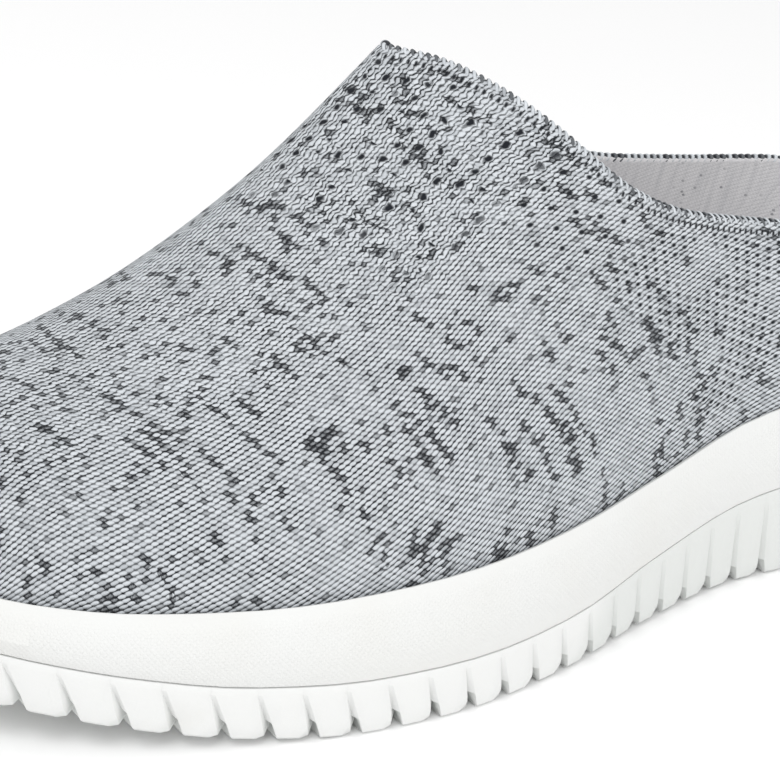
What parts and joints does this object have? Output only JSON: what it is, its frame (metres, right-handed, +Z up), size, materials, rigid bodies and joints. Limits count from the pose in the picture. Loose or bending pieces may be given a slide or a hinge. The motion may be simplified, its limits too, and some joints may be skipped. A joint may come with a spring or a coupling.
{
  "type": "sneaker mule",
  "caption": "Left sneaker mule: knitted slip-on upper, open at the heel, lasted into a foam cup over a lugged wedge outsole with a padded insole.",
  "frame": {"origin": "on the floor under the middle of the shoe's box", "axes": "+Z up, +Y from the toe toward the heel, +X toward the wearer's outer side"},
  "size_m": [0.1008, 0.2658, 0.1062],
  "materials": {
    "rubber_white": "matte moulded",
    "foam_white": "matte moulded foam with a fine emboss",
    "insole_grey": "padded cloth",
    "knit_grey": "marled knit"
  },
  "bodies": {
    "root": {"outsole": "rubber_white", "midsole": "foam_white", "insole": "insole_grey", "upper": "knit_grey"}
  },
  "joints": []
}
